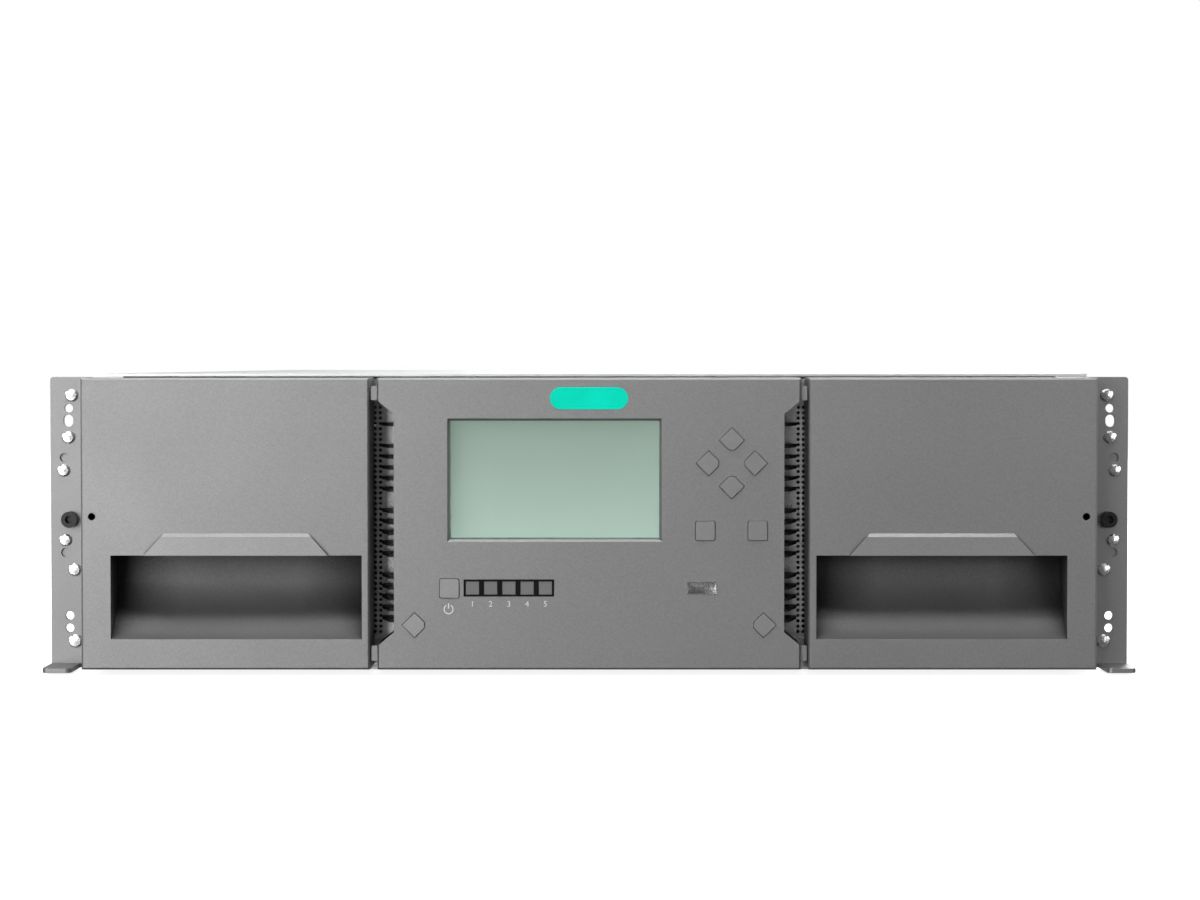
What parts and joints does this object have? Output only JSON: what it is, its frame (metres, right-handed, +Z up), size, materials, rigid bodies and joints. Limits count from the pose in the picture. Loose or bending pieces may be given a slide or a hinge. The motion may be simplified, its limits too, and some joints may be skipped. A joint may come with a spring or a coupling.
{
  "type": "data tape library",
  "caption": "Rack-mounted data tape library with two slide-out cartridge magazines, a control panel with a screen, an inner picking robot and rear modules.",
  "frame": {"origin": "middle of the flat underside, level with the rear face of the rack ears", "axes": "+X to the right seen from the front, +Y towards the rear, +Z up; the front faces -Y"},
  "size_m": [0.4826, 0.8931, 0.1326],
  "materials": {
    "bezel_paint": "dark grey paint with a fine metallic speckle",
    "key_paint": "satin grey caps",
    "galvanised_sheet": "galvanised sheet with a fine grain",
    "ear_paint": "dark grey powder coat",
    "bright_steel": "bright plated steel",
    "black_steel": "black oxide",
    "screen_glass": "clear window",
    "screen_glow": "grey-green liquid crystal panel",
    "badge_teal": "teal gloss",
    "strip_black": "gloss black",
    "status_grey": "unlit smoked lens",
    "board_green": "solder mask",
    "tray_plastic": "moulded dark grey",
    "divider_plastic": "moulded grey",
    "rail_steel": "plated steel",
    "robot_cast": "die cast, satin",
    "motor_black": "satin black",
    "drive_case": "dark satin",
    "module_sheet": "bright zinc plate",
    "fan_black": "moulded black"
  },
  "bodies": {
    "chassis": {"bottom_pan": "galvanised_sheet", "top_cover": "galvanised_sheet", "left_side_wall": "galvanised_sheet", "right_side_wall": "galvanised_sheet", "rear_panel": "galvanised_sheet", "front_frame": "galvanised_sheet", "left_ear": "ear_paint", "right_ear": "ear_paint", "ear_studs": "bright_steel", "rack_screws": "black_steel", "cover_screws": "bright_steel", "panel_bezel": "bezel_paint", "vent_screens": "rail_steel", "display_lens": "screen_glass", "display_module": "screen_glow", "badge_insert": "badge_teal", "led_strip": "strip_black", "led_lenses": "status_grey", "usb_port": "bright_steel", "panel_board": "board_green", "magazine_rails": "rail_steel", "latch_solenoids": "rail_steel", "lift_racks": "rail_steel", "rear_cage": "rail_steel"},
    "left_magazine": {"left_magazine_bezel": "bezel_paint", "left_magazine_tray": "tray_plastic", "left_magazine_dividers": "divider_plastic"},
    "right_magazine": {"right_magazine_bezel": "bezel_paint", "right_magazine_tray": "tray_plastic", "right_magazine_dividers": "divider_plastic"},
    "button_up": {"button_up": "key_paint"},
    "button_down": {"button_down": "key_paint"},
    "button_left": {"button_left": "key_paint"},
    "button_right": {"button_right": "key_paint"},
    "button_back": {"button_back": "key_paint"},
    "button_enter": {"button_enter": "key_paint"},
    "button_power": {"button_power": "key_paint"},
    "button_release_left": {"button_release_left": "key_paint"},
    "button_release_right": {"button_release_right": "key_paint"},
    "robot_platform": {"lift_platform": "robot_cast", "guide_rods": "bright_steel", "lift_motor": "motor_black"},
    "front_shaft": {"front_lift_shaft": "rail_steel"},
    "rear_shaft": {"rear_lift_shaft": "rail_steel"},
    "picker_carriage": {"picker_carriage": "robot_cast"},
    "picker_turntable": {"picker_turntable": "robot_cast"},
    "picker_gripper": {"picker_gripper": "rail_steel"},
    "drive_module_1": {"drive_sled_1": "module_sheet", "tape_drive_1": "drive_case"},
    "drive_module_2": {"drive_sled_2": "module_sheet", "tape_drive_2": "drive_case"},
    "drive_module_3": {"drive_sled_3": "module_sheet", "tape_drive_3": "drive_case"},
    "power_supply_1": {"power_supply_1": "module_sheet"},
    "fan_rotor_1": {"fan_rotor_1": "fan_black"},
    "power_supply_2": {"power_supply_2": "module_sheet"},
    "fan_rotor_2": {"fan_rotor_2": "fan_black"},
    "controller": {"controller_module": "module_sheet"},
    "left_latch": {"left_latch": "rail_steel"},
    "right_latch": {"right_latch": "rail_steel"}
  },
  "joints": [
    {"name": "left_magazine_slide", "type": "slide", "parent": "chassis", "child": "left_magazine", "axis": [0, -1, 0], "range_m": [0, 0.44]},
    {"name": "right_magazine_slide", "type": "slide", "parent": "chassis", "child": "right_magazine", "axis": [0, -1, 0], "range_m": [0, 0.44]},
    {"name": "button_up_press", "type": "slide", "parent": "chassis", "child": "button_up", "axis": [0, 1, 0], "range_m": [0, 0.0008], "stiffness_N_per_m": 500},
    {"name": "button_down_press", "type": "slide", "parent": "chassis", "child": "button_down", "axis": [0, 1, 0], "range_m": [0, 0.0008], "stiffness_N_per_m": 500},
    {"name": "button_left_press", "type": "slide", "parent": "chassis", "child": "button_left", "axis": [0, 1, 0], "range_m": [0, 0.0008], "stiffness_N_per_m": 500},
    {"name": "button_right_press", "type": "slide", "parent": "chassis", "child": "button_right", "axis": [0, 1, 0], "range_m": [0, 0.0008], "stiffness_N_per_m": 500},
    {"name": "button_back_press", "type": "slide", "parent": "chassis", "child": "button_back", "axis": [0, 1, 0], "range_m": [0, 0.0008], "stiffness_N_per_m": 500},
    {"name": "button_enter_press", "type": "slide", "parent": "chassis", "child": "button_enter", "axis": [0, 1, 0], "range_m": [0, 0.0008], "stiffness_N_per_m": 500},
    {"name": "button_power_press", "type": "slide", "parent": "chassis", "child": "button_power", "axis": [0, 1, 0], "range_m": [0, 0.0008], "stiffness_N_per_m": 500},
    {"name": "button_release_left_press", "type": "slide", "parent": "chassis", "child": "button_release_left", "axis": [0, 1, 0], "range_m": [0, 0.0008], "stiffness_N_per_m": 500},
    {"name": "button_release_right_press", "type": "slide", "parent": "chassis", "child": "button_release_right", "axis": [0, 1, 0], "range_m": [0, 0.0008], "stiffness_N_per_m": 500},
    {"name": "robot_lift", "type": "slide", "parent": "chassis", "child": "robot_platform", "axis": [0, 0, 1], "range_m": [0, 0.092]},
    {"name": "front_shaft_turn", "type": "hinge", "parent": "robot_platform", "child": "front_shaft", "pos_m": [0, 0.0225, 0.008], "axis": [1, 0, 0], "range_deg": [0, 1318.3]},
    {"name": "rear_shaft_turn", "type": "hinge", "parent": "robot_platform", "child": "rear_shaft", "pos_m": [0, 0.49, 0.008], "axis": [1, 0, 0], "range_deg": [0, 1318.3]},
    {"name": "picker_travel", "type": "slide", "parent": "robot_platform", "child": "picker_carriage", "axis": [0, 1, 0], "range_m": [0, 0.318]},
    {"name": "picker_turn", "type": "hinge", "parent": "picker_carriage", "child": "picker_turntable", "pos_m": [0, 0.1026, 0], "axis": [0, 0, 1], "range_deg": [-90, 90]},
    {"name": "gripper_reach", "type": "slide", "parent": "picker_turntable", "child": "picker_gripper", "axis": [0, 1, 0], "range_m": [0, 0.06]},
    {"name": "drive_1_slide", "type": "slide", "parent": "chassis", "child": "drive_module_1", "axis": [0, 1, 0], "range_m": [0, 0.33]},
    {"name": "drive_2_slide", "type": "slide", "parent": "chassis", "child": "drive_module_2", "axis": [0, 1, 0], "range_m": [0, 0.33]},
    {"name": "drive_3_slide", "type": "slide", "parent": "chassis", "child": "drive_module_3", "axis": [0, 1, 0], "range_m": [0, 0.33]},
    {"name": "power_supply_1_slide", "type": "slide", "parent": "chassis", "child": "power_supply_1", "axis": [0, 1, 0], "range_m": [0, 0.19]},
    {"name": "fan_1_spin", "type": "hinge", "parent": "power_supply_1", "child": "fan_rotor_1", "pos_m": [-0.1563, 0.831, 0.026], "axis": [0, 1, 0], "continuous": true},
    {"name": "power_supply_2_slide", "type": "slide", "parent": "chassis", "child": "power_supply_2", "axis": [0, 1, 0], "range_m": [0, 0.19]},
    {"name": "fan_2_spin", "type": "hinge", "parent": "power_supply_2", "child": "fan_rotor_2", "pos_m": [-0.1563, 0.831, 0.069], "axis": [0, 1, 0], "continuous": true},
    {"name": "controller_slide", "type": "slide", "parent": "chassis", "child": "controller", "axis": [0, 1, 0], "range_m": [0, 0.165]},
    {"name": "left_latch_turn", "type": "hinge", "parent": "chassis", "child": "left_latch", "pos_m": [-0.184, 0.5042, 0], "axis": [0, 0, 1], "range_deg": [0, 15]},
    {"name": "right_latch_turn", "type": "hinge", "parent": "chassis", "child": "right_latch", "pos_m": [0.184, 0.5042, 0], "axis": [0, 0, -1], "range_deg": [0, 15]}
  ],
  "couplings": [
    {"joint": "front_shaft_turn", "follows": "robot_lift", "rad_per_m": 250},
    {"joint": "rear_shaft_turn", "follows": "robot_lift", "rad_per_m": 250}
  ]
}
